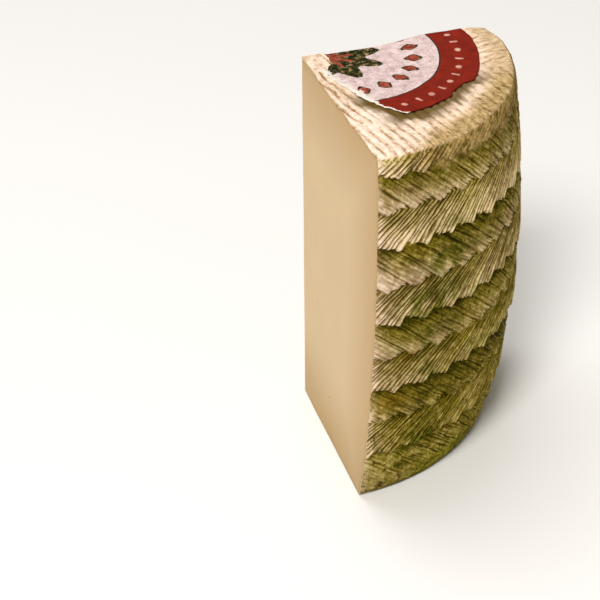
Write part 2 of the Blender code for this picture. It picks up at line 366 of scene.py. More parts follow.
def block_from(shape, name, materials=()):
    """A closed cutter from a bmesh; its faces take the second of the materials, the paste."""
    shape.normal_update()
    bmesh.ops.recalc_face_normals(shape, faces=shape.faces)
    mesh = bpy.data.meshes.new(name)
    shape.to_mesh(mesh)
    shape.free()
    block = linked(name, mesh, materials)
    for face in mesh.polygons:
        face.material_index = len(materials) // 2
    return block


def coordinates(mesh):
    points = np.empty(len(mesh.vertices) * 3)
    mesh.vertices.foreach_get("co", points)
    return points.reshape(-1, 3)


def store(mesh, name, values):
    """Keeps a number or a vector for each point, for the materials to read."""
    values = np.asarray(values, np.float32)
    kind, field = ("FLOAT", "value") if values.ndim == 1 else ("FLOAT_VECTOR", "vector")
    mesh.attributes.new(name, kind, "POINT").data.foreach_set(field, values.ravel())


# ---- shape of the rind


def side_radius(z):
    """Radius of the drum's side at a height, before the belt's relief."""
    above = np.clip((z - WIDEST_HEIGHT) / (TOP_Z - WIDEST_HEIGHT), 0, 1)
    below = np.clip((WIDEST_HEIGHT - z) / WIDEST_HEIGHT, 0, 1)
    foot = np.clip((FOOT_ROUND_UP - z) / FOOT_ROUND_UP, 0, 1)
    rounding = FOOT_ROUND_IN * (1 - np.sqrt(1 - foot**2))
    return WIDEST_RADIUS - TOP_DRAW_IN * above**2 - FOOT_DRAW_IN * below**2 - rounding


ROW_TOPS = TOP_Z - np.concatenate(([0.0], np.cumsum(BELT_ROWS)))
ROW_HEIGHTS = np.array(BELT_ROWS)
RIGHT_ROWS = np.arange(len(BELT_ROWS)) % 2 == 0
LEFT_ROWS = ~RIGHT_ROWS
REACHES = np.where(RIGHT_ROWS, *TIP_REACH)
CORNERS = np.where(RIGHT_ROWS, *LEAF_CORNER)
LEAF_TABLE = (len(BELT_ROWS), LEAVES_ROUND)
RIDGE_TABLE = (*LEAF_TABLE, LEAF_RIDGES)
LEAF_LIFT = draw.uniform(-0.00022, 0.00022, LEAF_TABLE)
LEAF_LONGER = draw.uniform(-0.0004, 0.0004, LEAF_TABLE)
LEAF_FAN = draw.uniform(-0.1, 0.1, LEAF_TABLE)
RIDGE_LIFT = draw.uniform(-0.00014, 0.00014, RIDGE_TABLE)
RIDGE_LONGER = draw.uniform(-0.00025, 0.00025, RIDGE_TABLE)
RIDGE_WIDTHS = draw.uniform(0.75, 1.25, RIDGE_TABLE)
RIDGE_WIDTHS[LEFT_ROWS] = draw.uniform(0.45, 1.55, RIDGE_TABLE)[LEFT_ROWS]
RIDGE_WIDTHS[RIGHT_ROWS, :, -1] *= LAST_RIDGE_WIDER
# The row at the rim has coarser strands: the last of each leaf is as good as none.
RIDGE_WIDTHS[0, :, -1] = 0.001
RIDGE_EDGES = np.concatenate((np.zeros((*LEAF_TABLE, 1)), np.cumsum(RIDGE_WIDTHS, axis=2)), axis=2)
RIDGE_EDGES /= RIDGE_EDGES[..., -1:]
# How deep each groove is: even in the rows that lean right, in the others deep round each leaf.
GROOVE_SHARES = draw.uniform(0.0, 1.0, (*LEAF_TABLE, LEAF_RIDGES + 1))
GROOVE_SHARES[RIGHT_ROWS] = 0.75 + 0.35 * GROOVE_SHARES[RIGHT_ROWS]
GROOVE_SHARES[LEFT_ROWS] = 0.25 + 0.75 * GROOVE_SHARES[LEFT_ROWS] ** 2
GROOVE_SHARES[LEFT_ROWS, :, ::LEAF_RIDGES] = 1.0


def strand_shift(row, z):
    """How far a strand has moved round the drum at a height, from the foot of its row."""
    share = (z - ROW_TOPS[row + 1]) / ROW_HEIGHTS[row]
    bend = RIGHT_LEAN_FOOT * share + (RIGHT_LEAN_TOP - RIGHT_LEAN_FOOT) / 2.0 * share**2
    bend = np.where(np.equal(row, 0), RIM_LEAN * share, bend)
    return ROW_HEIGHTS[row] * np.where(RIGHT_ROWS[row], bend, -LEFT_LEAN * share)


def leaf_place(row, arc, z):
    """Which leaf of a row a point lies on, and how far across it (0 to 1)."""
    lowest = ROW_TOPS[row + 1] - REACHES[row] / 2.0
    turned = arc - strand_shift(row, z) + strand_shift(row, lowest)
    leaf = turned / LEAF_WIDTH - CORNERS[row]
    number = np.floor(leaf).astype(int)
    return number % LEAVES_ROUND, leaf - number, leaf


def ridge_place(row, number, share):
    """Which ridge of its leaf a point lies on, and how far across it (-1 to 1)."""
    edges = RIDGE_EDGES[row, number]
    ridge = np.minimum((share[..., None] >= edges[..., 1:]).sum(axis=-1), LEAF_RIDGES - 1)
    low = np.take_along_axis(edges, ridge[..., None], axis=-1)[..., 0]
    high = np.take_along_axis(edges, ridge[..., None] + 1, axis=-1)[..., 0]
    return ridge, 2.0 * (share - low) / (high - low) - 1.0


def row_edge(row, arc, z):
    """Height of a row's ragged lower edge, leaf by leaf and strand by strand."""
    number, share, _ = leaf_place(row, arc, z)
    ridge, across = ridge_place(row, number, share)
    saw = np.where(RIGHT_ROWS[row], 0.5 - share, share - 0.5)
    rounding = np.where(RIGHT_ROWS[row], *TIP_ROUNDING) * across**2
    longer = LEAF_LONGER[row, number] + RIDGE_LONGER[row, number, ridge]
    return ROW_TOPS[row + 1] + REACHES[row] * saw + rounding - longer


def belt(arc, z):
    """The belt's relief at points of the side.

    Gives the outward shift, how deep in a groove a point lies (0 to 1), its row, how far
    up the row it is (0 to 1) and how far below the edge of the row above, how far it
    stands up as a bead of its strand (-1 to 1), and coordinates across and along.
    """
    row = np.zeros(arc.shape, int)
    below_edge = np.full(arc.shape, np.inf)
    for number in range(1, len(BELT_ROWS)):
        edge = row_edge(np.full(arc.shape, number - 1), arc, z)
        under = z < edge
        row = np.where(under, number, row)
        below_edge = np.where(under, edge - z, below_edge)
    right = RIGHT_ROWS[row]
    up = np.clip((z - ROW_TOPS[row + 1]) / ROW_HEIGHTS[row], 0, 1)
    number, share, leaf = leaf_place(row, arc, z)
    level = row * 3.7
    wander = STRAND_WANDER * noise(leaf * 2.0, z / 0.004, level, 4)
    wander += STRAND_TREMBLE * noise(leaf * 6.0, z / 0.0018, level, 8)
    share = np.clip(share + wander + LEAF_FAN[row, number] * (up - FAN_CENTRE), 0.0, 0.9999)
    ridge, across = ridge_place(row, number, share)
    uneven = noise(leaf * LEAF_RIDGES, z / 0.003, level, 5)
    rough = noise(arc / 0.0012, z / 0.0012, row * 1.3, 6)
    patchy = np.clip(0.75 + 0.9 * noise(arc / 0.005, z / 0.004, row * 2.1, 7), 0.15, 1.4)
    beads = noise(leaf * LEAF_RIDGES * 1.3, z / 0.0021, level, 9)
    groove = np.abs(across) ** np.where(right, *GROOVE_SHARPNESS) * np.where(right, 1.0, patchy)
    groove *= GROOVE_SHARES[row, number, ridge + (across > 0.0)]
    depth = np.where(right, *GROOVE_DEPTH) * (0.85 + 0.35 * uneven)
    low = np.where(right, *ROW_TOP_RISE)
    high = np.where(right, *ROW_FOOT_RISE)
    tilt = low + (high - low) * np.where(right, 1 - up, (1 - up) ** 0.8)
    leaf_step = np.where(right, *LEAF_STEP) * (share - 0.5)
    swell = np.where(right & (row > 0), TIP_SWELL, 0.0) * smooth(*TIP_SWELL_FROM, share) * (1 - up)
    strands = leaf_step + swell + LEAF_LIFT[row, number] + RIDGE_LIFT[row, number, ridge]
    strands = strands - depth * groove + np.where(right, *ROUGHNESS) * rough
    strands += np.where(right, *BEADS) * beads
    # The strands fade out towards the foot and, past the near corner, at the shoulder.
    fade = np.where(row == FOOT_ROW, smooth(*FOOT_FADE_HEIGHTS, z), 1.0)
    fade *= (1.0 - FADE_SHARE * (smooth(*FADE_ARCS, arc) * smooth(*FADE_HEIGHTS, z)))
    return SimpleNamespace(
        outward=(tilt + strands) * fade, groove=groove * fade, row=row, up=up, beads=beads,
        below_edge=below_edge, across=leaf * LEAF_WIDTH / MM, along=z / MM,
    )


def top_unevenness(x, y):
    """Unevenness of the top, which never rises above the plain one."""
    return np.minimum(layered_noise(x, y, TOP_Z, WEATHERING) - WEATHERING_SINK, 0.0)


def shoulder_wear(arc):
    """How much lower and rounder the rim is worn between the near corner and the middle."""
    return WEAR_DEPTH * smooth(*WORN_ARCS, arc) * smooth(*WEAR_END_ARCS, arc)


def cut_distance(x, y, z):
    """Distance from the left knife cut, into the cheese."""
    share = z / TOP_Z
    foot, lean = np.array(CUT_LINE_FOOT), np.array(CUT_LINE_TOP - CUT_LINE_FOOT)
    sideways = x - foot[0] - lean[0] * share
    forward = y - foot[1] - lean[1] * share
    return -sideways * math.sin(LEFT_CUT) + forward * math.cos(LEFT_CUT)


def crown(x, y):
    """How much higher the top stands near the far end of the right knife cut."""
    right = heading(RIGHT_CUT)
    x, y = x - CUT_LINE_TOP.x, y - CUT_LINE_TOP.y
    along = x * right.x + y * right.y
    inward = x * right.y - y * right.x
    corner = smooth(*CORNER_ALONG, along) * (1 - smooth(*CORNER_INWARD, inward))
    rise = smooth(*CROWN_ALONG, along) * (1 - smooth(*CROWN_INWARD, inward))
    return CROWN_HEIGHT * rise * (1.0 - CORNER_LOSS * corner)


def put_in_place(mesh):
    """Lifts the top by its crown, less and less down the side, and moves the mesh to the part."""
    spots = coordinates(mesh)
    spots[:, 2] += crown(spots[:, 0], spots[:, 1]) * smooth(*CROWN_HEIGHTS, spots[:, 2])
    mesh.vertices.foreach_set("co", spots.ravel())
    mesh.update()
    mesh.transform(Matrix.Translation(DRUM_AXIS))


def tan_band(x, y):
    """The worn, tan band that the shoulder wears past the near corner: its share on the top."""
    arc = (np.arctan2(y, x) + math.pi / 2.0) * WIDEST_RADIUS
    inner = TAN_RADIUS + TAN_RADIUS_GAIN * smooth(*TAN_GAIN_ARCS, arc)
    share = smooth(*TAN_ARCS, arc) * (1.0 - TAN_END_LOSS * smooth(*TAN_END_ARCS, arc))
    return share * smooth(inner, inner + TAN_STEP, np.hypot(x, y))


def board(x, y):
    """The top's relief: depth below the plain top, grooves (0 to 1), coordinates of its ridges."""
    border = FIELD_BORDER_X + FIELD_BORDER_WAVE * noise(y / 0.006, 0.3, 0.7, 21)
    in_front = x < border
    direction = np.where(in_front, FRONT_HEADING, SIDE_HEADING)
    across = -x * np.sin(direction) + y * np.cos(direction)
    along = x * np.cos(direction) + y * np.sin(direction)
    wander = TOP_WANDER * noise(along / 0.012, across / 0.012, 0.1, 22)
    wander += TOP_TREMBLE * noise(along / 0.0035, across / 0.004, 0.1, 26)
    ridge = (across + wander) / TOP_RIDGE_PITCH + np.where(in_front, 0.0, 0.4)
    number = np.floor(ridge)
    uneven = noise(number, along / 0.007, 4.4, 23)
    broken = 0.3 + 0.7 * smooth(-0.7, 0.1, noise(across / 0.004, along / 0.005, 1.3, 24))
    groove = np.abs(2.0 * (ridge - number) - 1.0) ** (TOP_GROOVE_SHARPNESS + 0.9 * uneven)
    groove = groove * broken * np.where(in_front, 1.0, 0.7)
    knots = along / TOP_KNOT_PITCH + 3.0 * noise(number, 0.5, 0.5, 28)
    knots += 0.8 * noise(across / 0.003, along / 0.005, 0.9, 29)
    strong = noise(across / 0.0035, along / 0.0035, 5.1, 30)
    knots = 0.5 - 0.5 * np.cos(math.tau * knots) * strong
    lumps = 0.5 + 0.5 * noise(across / 0.0011, along / 0.0013, 0.2, 25)
    ragged = 1.0 + 0.5 * smooth(*RAGGED_WIDTHS, cut_distance(x, y, TOP_Z))
    depth = TOP_RIDGE_DEPTH * (0.75 + 0.4 * uneven) * groove * ragged
    depth = depth + TOP_KNOTS * knots * (1 - groove) + TOP_LUMPS * lumps
    depth *= (1.0 - 0.85 * tan_band(x, y))
    groove = np.clip(groove + 0.35 * (knots - 0.5) + 0.35 * (lumps - 0.5), 0, 1)
    across = ridge * TOP_RIDGE_PITCH / MM
    return SimpleNamespace(depth=depth, groove=groove, across=across, along=along / MM)


def ring_heights():
    """Heights of the side's rings from the rim down, close together at the rows' edges."""
    heights = [TOP_Z - RIM_ROUND]
    for row, size in enumerate(BELT_ROWS):
        top = ROW_TOPS[row]
        bottom = top - size
        z = heights[-1]
        while z > bottom + EDGE_STEP:
            near_edge = min(top - z, z - bottom) < EDGE_ZONE
            z -= EDGE_STEP if near_edge else ROW_STEP
            heights.append(z)
        heights[-1] = bottom
    return heights


def turned_by(z):
    """How far round the drum the slanting columns of points have moved at a height."""
    arc = 0.0
    for row in range(len(BELT_ROWS)):
        lower = max(z, ROW_TOPS[row + 1])
        arc += float(strand_shift(row, lower) - strand_shift(row, ROW_TOPS[row]))
        if z >= ROW_TOPS[row + 1]:
            break
    return arc / WIDEST_RADIUS


def drum(name, materials):
    """The whole drum: rings of points across the top and down the side, closed flat below."""
    fine = math.tau / LEAVES_ROUND / POINTS_PER_LEAF
    left = math.tau - (FINE_COLUMNS - 1) * fine
    rest = np.arange(1, COARSE_COLUMNS + 1) / (COARSE_COLUMNS + 1) * left
    arcs = FINE_START + np.arange(FINE_COLUMNS) * fine
    angles = np.concatenate((arcs, arcs[-1] + rest))
    rings = []
    top_radius = side_radius(TOP_Z) - RIM_ROUND
    for radius in np.arange(TOP_INNER_RADIUS, top_radius - TOP_STEP, TOP_STEP):
        rings.append(top_ring(angles[:: 4 if radius < TOP_COARSE_RADIUS else 2], radius))
    for step in range(RIM_STEPS + 1):
        rings.append(rim_ring(angles, math.pi / 2.0 * (1 - step / RIM_STEPS)))
    for z in ring_heights()[1:]:
        rings.append(side_ring(angles, z))
    faces = []
    first = 0
    for inner, outer in zip(rings, rings[1:]):
        faces += ring_faces(first, len(inner), len(outer))
        first += len(inner)
    faces.append(tuple(range(len(rings[0]))))
    faces.append(tuple(reversed(range(first, first + len(rings[-1])))))
    return new_object(name, np.concatenate(rings), faces, materials)


def ring_faces(first, inner_count, outer_count):
    """Faces between a ring and the next one out, which has as many points or twice as many."""
    faces = []
    second = first + inner_count
    for column in range(inner_count):
        here, after = first + column, first + (column + 1) % inner_count
        if inner_count == outer_count:
            faces.append((here, second + column, second + (column + 1) % outer_count, after))
            continue
        left, middle, right = (second + (2 * column + step) % outer_count for step in range(3))
        faces += [(here, left, middle), (here, middle, after), (after, middle, right)]
    return faces


def around(angles, radius, z):
    """Points at angles measured from -Y, the middle of the rind."""
    turned = angles - math.pi / 2.0
    level = np.broadcast_to(z, angles.shape)
    return np.stack([radius * np.cos(turned), radius * np.sin(turned), level], axis=1)


def side_ring(angles, z):
    """One ring of the side; the lowest keeps the plain foot's edge."""
    angles = angles + turned_by(z)
    plain = around(angles, side_radius(z), z)
    if z < EDGE_STEP:
        return plain
    arc = angles * WIDEST_RADIUS
    outward = belt(arc, plain[:, 2]).outward
    rough = layered_noise(*plain.T, WEATHERING) - shoulder_wear(arc) * smooth(*WEAR_HEIGHTS, z)
    return around(angles, side_radius(z) + outward + rough, z)


def rim_ring(angles, slope):
    """One ring of the rounded rim, from the side (slope 0) to the top (slope 90 degrees)."""
    outward = math.cos(slope)
    upward = math.sin(slope)
    z = TOP_Z - RIM_ROUND
    radius = side_radius(z) - RIM_ROUND * (1 - outward)
    height = z + RIM_ROUND * upward
    angles = angles + turned_by(z) * outward
    arc = angles * WIDEST_RADIUS
    spots = around(angles, radius, height)
    side = belt(arc, spots[:, 2]).outward * outward**2
    down = board(spots[:, 0], spots[:, 1]).depth * upward**2
    rough = layered_noise(*spots.T, WEATHERING) - WEATHERING_SINK * upward - shoulder_wear(arc)
    spots = around(angles, radius + (side + rough) * outward, height)
    spots[:, 2] += np.minimum(rough, 0.0) * upward - down
    return spots


def top_ring(angles, radius):
    spots = around(angles, radius, TOP_Z)
    x, y, _ = spots.T
    down = board(x, y).depth + top_wear(angles * WIDEST_RADIUS, radius)
    spots[:, 2] += (top_unevenness(x, y) - down) * smooth(*TOP_FADE_RADII, radius)
    return spots


def top_wear(arc, radius):
    return shoulder_wear(arc) * smooth(*WEAR_RADII, radius)


# ---- knife cuts and eyes


def knife_block(name, materials):
    """The block between the two knife cuts, whose two cutting faces are slightly wavy."""
    lean = (CUT_LINE_TOP - CUT_LINE_FOOT) / TOP_Z
    foot = CUT_LINE_FOOT - lean * KNIFE_MARGIN
    reach = lean * (TOP_Z + 2.0 * KNIFE_MARGIN)
    shape = bmesh.new()
    bmesh.ops.create_cube(shape, size=1.0, matrix=Matrix.Translation((0.5, 0.5, 0.5)))
    bmesh.ops.subdivide_edges(shape, edges=shape.edges, cuts=KNIFE_STEPS, use_grid_fill=True)
    left = heading(LEFT_CUT) * KNIFE_REACH
    right = heading(RIGHT_CUT) * KNIFE_REACH
    shear = Matrix((left, right, reach)).transposed()
    unit = np.array([point.co for point in shape.verts])
    spots = np.array([foot + shear @ point.co for point in shape.verts])
    for axis, side, seed in ((1, left, 41), (0, right, 42)):
        inward = np.array(Vector((-side.y, side.x, 0.0)).normalized())
        flat = spots @ np.array(side.normalized())
        wave = noise(flat / 0.021, spots[:, 2] / 0.034, 0.5, seed)
        wave = wave + KNIFE_CHATTER * noise(flat / 0.0035, spots[:, 2] / 0.009, 0.5, seed + 5)
        spots += np.outer(wave * KNIFE_WAVE * (unit[:, axis] < 1e-6), inward)
    for point, spot in zip(shape.verts, spots):
        point.co = spot
    return block_from(shape, name, materials)


def eyes(name, materials):
    """Small flattened hollows with lumpy walls, whose middles lie on the two cut faces."""
    shape = bmesh.new()
    for direction, count, smallest, largest in EYES:
        across_line = Matrix.Rotation(direction, 4, "Z")
        for _ in range(count):
            height = eye_chance.uniform(EYE_FROM_ENDS, TOP_Z - EYE_FROM_ENDS)
            line = CUT_LINE_FOOT.lerp(CUT_LINE_TOP, height / TOP_Z)
            middle = line + heading(direction) * eye_chance.uniform(*EYE_FROM_CUT_LINE)
            size = smallest + (largest - smallest) * eye_chance.random() ** 2
            stretch = Matrix.Diagonal((*EYE_STRETCH, 1.0))
            turn = Matrix.Rotation(eye_chance.uniform(-EYE_TILT, EYE_TILT), 4, "Y")
            place = Matrix.Translation(middle) @ across_line @ turn @ stretch
            ball = bmesh.ops.create_icosphere(shape, subdivisions=3, radius=size, matrix=place)["verts"]
            spots = np.array([point.co for point in ball]) / (size * EYE_LUMP_SIZE)
            lumps = 1.0 + EYE_LUMPS * noise(*spots.T, 71)
            for point, lump in zip(ball, lumps):
                point.co = middle + (point.co - middle) * float(lump)
    return block_from(shape, name, materials)


# ---- node helpers


class Net:
    """Short ways to add shader nodes to one material."""

    def __init__(self, name):
        self.material = bpy.data.materials.new(name)
        self.material.use_nodes = True
        self.tree = self.material.node_tree
        self.shader = self.tree.nodes["Principled BSDF"]

    def add(self, kind, inputs=(), **settings):
        node = self.tree.nodes.new("ShaderNode" + kind)
        for key, value in settings.items():
            setattr(node, key, value)
        for key, value in dict(inputs).items():
            self.put(node.inputs[key], value)
        return node

    def put(self, socket, value):
        if isinstance(value, bpy.types.NodeSocket):
            self.tree.links.new(value, socket)
        elif isinstance(value, tuple) and len(value) == 3 and socket.type == "RGBA":
            socket.default_value = (*value, 1.0)
        else:
            socket.default_value = value

    def value(self, name, output="Fac"):
        return self.add("Attribute", attribute_name=name).outputs[output]

    def place(self):
        return self.add("TexCoord").outputs["Object"]

    def math(self, operation, first, second=0.0, third=0.0):
        return self.add("Math", {0: first, 1: second, 2: third}, operation=operation).outputs[0]

    def times(self, first, second):
        return self.math("MULTIPLY", first, second)

    def plus(self, first, second):
        return self.math("ADD", first, second)

    def size(self, value):
        return self.math("ABSOLUTE", value)

    def noise(self, vector, scale, detail=3.0, roughness=0.55):
        inputs = {"Vector": vector, "Scale": scale, "Detail": detail, "Roughness": roughness}
        return self.add("TexNoise", inputs).outputs["Fac"]

    def stretched_noise(self, vector, scale, detail=2.0, roughness=0.55):
        stretched = self.add("Mapping", {"Vector": vector, "Scale": scale}).outputs["Vector"]
        return self.noise(stretched, 1.0, detail, roughness)

    def ramp(self, value, low, high, out_low=0.0, out_high=1.0):
        inputs = {"Value": value, "From Min": low, "From Max": high, "To Min": out_low, "To Max": out_high}
        return self.add("MapRange", inputs, clamp=True).outputs["Result"]

    def swing(self, value, reach):
        """A noise spread to a reach either way of 0."""
        return self.ramp(value, 0.3, 0.7, -reach, reach)

    def wave(self, turn, count):
        """A cosine that rises from 0 to 1 as many times as given in one turn."""
        angle = self.times(turn, count)
        return self.math("MULTIPLY_ADD", self.math("COSINE", angle), 0.5, 0.5)

    def mix(self, share, first, second, blend="MIX"):
        node = self.add("Mix", data_type="RGBA", blend_type=blend, clamp_factor=True)
        self.put(node.inputs["Factor"], share)
        self.put(node.inputs["A"], first)
        self.put(node.inputs["B"], second)
        return node.outputs["Result"]

    def change(self, value, low, high, first, second):
        """The first colour where a value is at its low end, the second at its high end."""
        return self.mix(self.ramp(value, low, high), first, second)

    def bump(self, height, strength, distance, below=None):
        node = self.add("Bump", {"Height": height, "Strength": strength, "Distance": distance})
        if below is not None:
            self.put(node.inputs["Normal"], below)
        return node.outputs["Normal"]

    def finish(self, **sockets):
        for key, value in sockets.items():
            self.put(self.shader.inputs[key.replace("_", " ")], value)
        return self.material


# ---- materials


def paste_material():
    """Cream paste: paler inside, tan under the rind, with a fine waxy grain and painted shade towards the
    floor.
    """
    net = Net("paste")
    place = net.place()
    cloud = net.noise(place, 38.0, 4.0)
    depth = net.plus(net.value("rind_depth"), net.swing(net.noise(place, 210.0), 0.5))
    colour = net.change(cloud, 0.35, 0.65, (0.615, 0.448, 0.24), (0.665, 0.49, 0.27))
    for start, end, layer in PASTE_LAYERS:
        colour = net.change(depth, start, end, layer, colour)
    # Painted shade: the paste darkens towards the floor over its lowest 30 millimetres.
    height = net.add("SeparateXYZ", {0: place}).outputs["Z"]
    colour = net.mix(net.ramp(height, 0.03, 0.0), colour, (0.84, 0.84, 0.7), "MULTIPLY")
    colour = net.change(net.noise(place, 900.0, 2.0), 0.72, 0.8, colour, (0.56, 0.4, 0.18))
    drag = net.stretched_noise(place, (260.0, 260.0, 22.0), 3.0)
    normal = net.bump(net.noise(place, 1400.0, 3.0, 0.6), 0.25, 0.0002)
    normal = net.bump(drag, 0.25, 0.0004, normal)
    net.shader.subsurface_method = "RANDOM_WALK"
    return net.finish(
        Base_Color=colour, Roughness=net.ramp(cloud, 0.3, 0.7, 0.42, 0.55), Normal=normal,
        Subsurface_Weight=0.25, Subsurface_Radius=(1.0, 0.6, 0.3), Subsurface_Scale=0.003,
        Specular_IOR_Level=0.4,
    )


def rind_material():
    """Dry rind: straw ridges over olive grooves, paler on top, mouldy towards the foot."""
    net = Net("rind")
    place = net.place()
    pale = net.value("pale")
    straw = net.value("straw", "Vector")
    fibre = net.stretched_noise(straw, (3.4, 0.3, 1.0), 3.0, 0.6)
    strand = net.stretched_noise(straw, (1.1, 0.28, 1.0))
    streaky = net.stretched_noise(straw, (1.6, 0.45, 1.0))
    patchy = net.noise(place, 110.0, 4.0, 0.6)
    mottle = net.noise(place, 480.0, 3.0, 0.6)
    specks = net.noise(place, 1250.0, 2.0, 0.6)
    spots = net.noise(place, 520.0, 2.0)
    fibre_share = net.ramp(pale, 0.7, 0.97, 1.0, 0.5)
    light = net.value("tone")
    for change in (
        net.times(net.ramp(fibre, 0.25, 0.75, -0.24, 0.24), fibre_share),
        net.swing(mottle, 0.18),
        net.times(net.ramp(strand, 0.32, 0.68, -0.3, 0.2), pale),
        net.swing(patchy, 0.13),
        net.swing(specks, 0.14),
    ):
        light = net.plus(light, change)
    groove = net.mix(pale, (0.055, 0.04, 0.003), (0.3, 0.18, 0.075))
    middle = net.mix(pale, (0.29, 0.205, 0.056), (0.66, 0.48, 0.34))
    crest = net.mix(pale, (0.8, 0.62, 0.33), (0.98, 0.79, 0.68))
    colour = net.change(light, 0.05, 0.5, groove, middle)
    colour = net.change(light, 0.5, 1.0, colour, crest)
    green = net.times(net.value("green"), net.ramp(light, 0.35, 0.95, 1.0, 0.35))
    patina = net.times(net.ramp(streaky, 0.36, 0.6, 0.5, 1.35), net.value("patina"))
    for share, tint in (
        (green, (0.74, 0.8, 0.2)),
        (patina, (0.3, 0.37, 0.07)),
        (net.value("foot_green"), (0.84, 0.96, 0.42)),
        (net.value("brown"), (0.84, 0.69, 0.42)),
    ):
        colour = net.mix(share, colour, tint, "MULTIPLY")
    tan = net.change(light, 0.15, 0.9, (0.12, 0.075, 0.008), (0.64, 0.44, 0.165))
    for share, cover in (
        (net.times(net.value("ochre"), 0.85), tan),
        (net.times(net.ramp(spots, 0.59, 0.7), net.value("mould")), (0.06, 0.048, 0.008)),
        (net.value("spot"), (0.06, 0.036, 0.008)),
        # The band by the label's edge is partly a damp stain, partly painted shadow of the lifted paper.
        (net.value("stain_and_painted_shadow"), (0.115, 0.07, 0.011)),
    ):
        colour = net.mix(share, colour, cover)
    normal = net.bump(fibre, 0.5, 0.0003)
    normal = net.bump(mottle, 0.4, 0.0004, normal)
    normal = net.bump(net.noise(place, 2200.0, roughness=0.65), 0.35, 0.0002, normal)
    rough = net.ramp(light, 0.1, 1.0, 0.9, 0.7)
    return net.finish(Base_Color=colour, Roughness=rough, Normal=normal, Specular_IOR_Level=0.02)


def label_material():
    """Printed paper: a brick red band of dots and bars, a ring of lozenges, a plain rosette."""
    net = Net("label")
    place = net.place()
    out = net.value("from_middle")
    flat = net.value("flat", "Vector")
    ink = net.noise(place, 260.0)
    soil = net.noise(flat, 0.35, 4.0, 0.65)
    split = net.add("SeparateXYZ", {0: flat}).outputs
    turn = net.math("ARCTAN2", split["Y"], split["X"])

    field = net.change(soil, 0.35, 0.65, (0.55, 0.41, 0.41), (0.8, 0.65, 0.66))
    flecks = net.stretched_noise(flat, (1.4, 2.2, 1.0))
    field = net.change(flecks, 0.6, 0.68, field, (0.26, 0.17, 0.19))

    # The rosette and the lozenges, in dark green and rust with rough outlines.
    leafy = net.noise(flat, 0.55, 4.0, 0.72)
    deep = net.change(leafy, 0.46, 0.56, (0.004, 0.01, 0.001), (0.075, 0.06, 0.01))
    deep = net.change(leafy, 0.56, 0.64, deep, (0.4, 0.26, 0.14))
    rust = net.change(leafy, 0.36, 0.56, (0.12, 0.014, 0.006), (0.36, 0.075, 0.045))
    rough_out = net.plus(out, net.ramp(net.noise(flat, 0.9), 0.2, 0.8, -0.45, 0.45))
    petals = net.wave(turn, PETALS_ROUND)
    rosette = net.math("MULTIPLY_ADD", petals, -PETAL_DEPTH, rough_out)
    picture = field
    for radius, inner in ((ROSETTE_RADIUS, deep), (BUD_RADIUS, rust)):
        picture = net.change(rosette, radius - 0.2, radius + 0.2, inner, picture)
    ring = net.size(net.math("SUBTRACT", rough_out, LOZENGE_RING_RADIUS))
    lozenges = net.wave(turn, LOZENGES_ROUND)
    lozenge = net.math("MULTIPLY_ADD", lozenges, LOZENGE_REACH, net.times(ring, -1.0))
    picture = net.change(lozenge, 1.1, 1.4, picture, deep)
    picture = net.change(lozenge, 2.0, 2.3, picture, rust)

    # The red band, with a dot and a bar by turns.
    red = net.change(ink, 0.3, 0.7, (0.185, 0.01, 0.003), (0.255, 0.017, 0.006))
    soiled = net.mix(1.0, red, (0.8, 0.76, 0.76), "MULTIPLY")
    red = net.change(soil, 0.3, 0.6, soiled, red)
    steps = net.times(turn, MARKS_ROUND / math.tau)
    along = net.math("SUBTRACT", net.math("FRACT", steps), 0.5)
    along = net.times(along, MARK_RADIUS * math.tau / MARKS_ROUND)
    up = net.math("SUBTRACT", out, MARK_RADIUS)
    squares = net.plus(net.math("POWER", along, 2.0), net.math("POWER", up, 2.0))
    dot = net.ramp(net.math("SQRT", squares), 1.15, 0.75)
    bar = net.ramp(net.size(along), 0.6, 0.35)
    bar = net.times(bar, net.ramp(net.size(up), 1.4, 1.1))
    odd = net.math("FRACT", net.times(net.math("FLOOR", steps), 0.5))
    choice = {"Factor": net.ramp(odd, 0.2, 0.3), "A": dot, "B": bar}
    mark = net.add("Mix", choice).outputs["Result"]
    mark = net.times(mark, net.ramp(soil, 0.35, 0.6, 0.45, 0.95))
    red = net.mix(mark, red, (0.72, 0.42, 0.35))

    inner = BAND_INNER_RADIUS
    colour = net.change(out, inner - 0.55, inner - 0.45, picture, (0.035, 0.02, 0.022))
    colour = net.change(out, inner - 0.05, inner + 0.05, colour, red)

    # Bare paper along the tear, wider in the band.
    rag = net.noise(place, 520.0, 4.0, 0.65)
    torn = net.times(net.value("from_tear"), net.ramp(out, inner - 1.0, inner + 3.0, 0.8, 2.6))
    printed = net.plus(torn, net.swing(rag, 1.3))
    paper = net.change(rag, 0.35, 0.6, (0.7, 0.62, 0.55), (0.9, 0.84, 0.8))
    colour = net.change(printed, 1.1, 1.5, paper, colour)
    rough = net.ramp(ink, 0.3, 0.7, 0.65, 0.8)
    normal = net.bump(net.noise(place, 1500.0), 0.25, 0.0002)
    return net.finish(Base_Color=colour, Roughness=rough, Normal=normal, Specular_IOR_Level=0.12)


# ---- the cheese


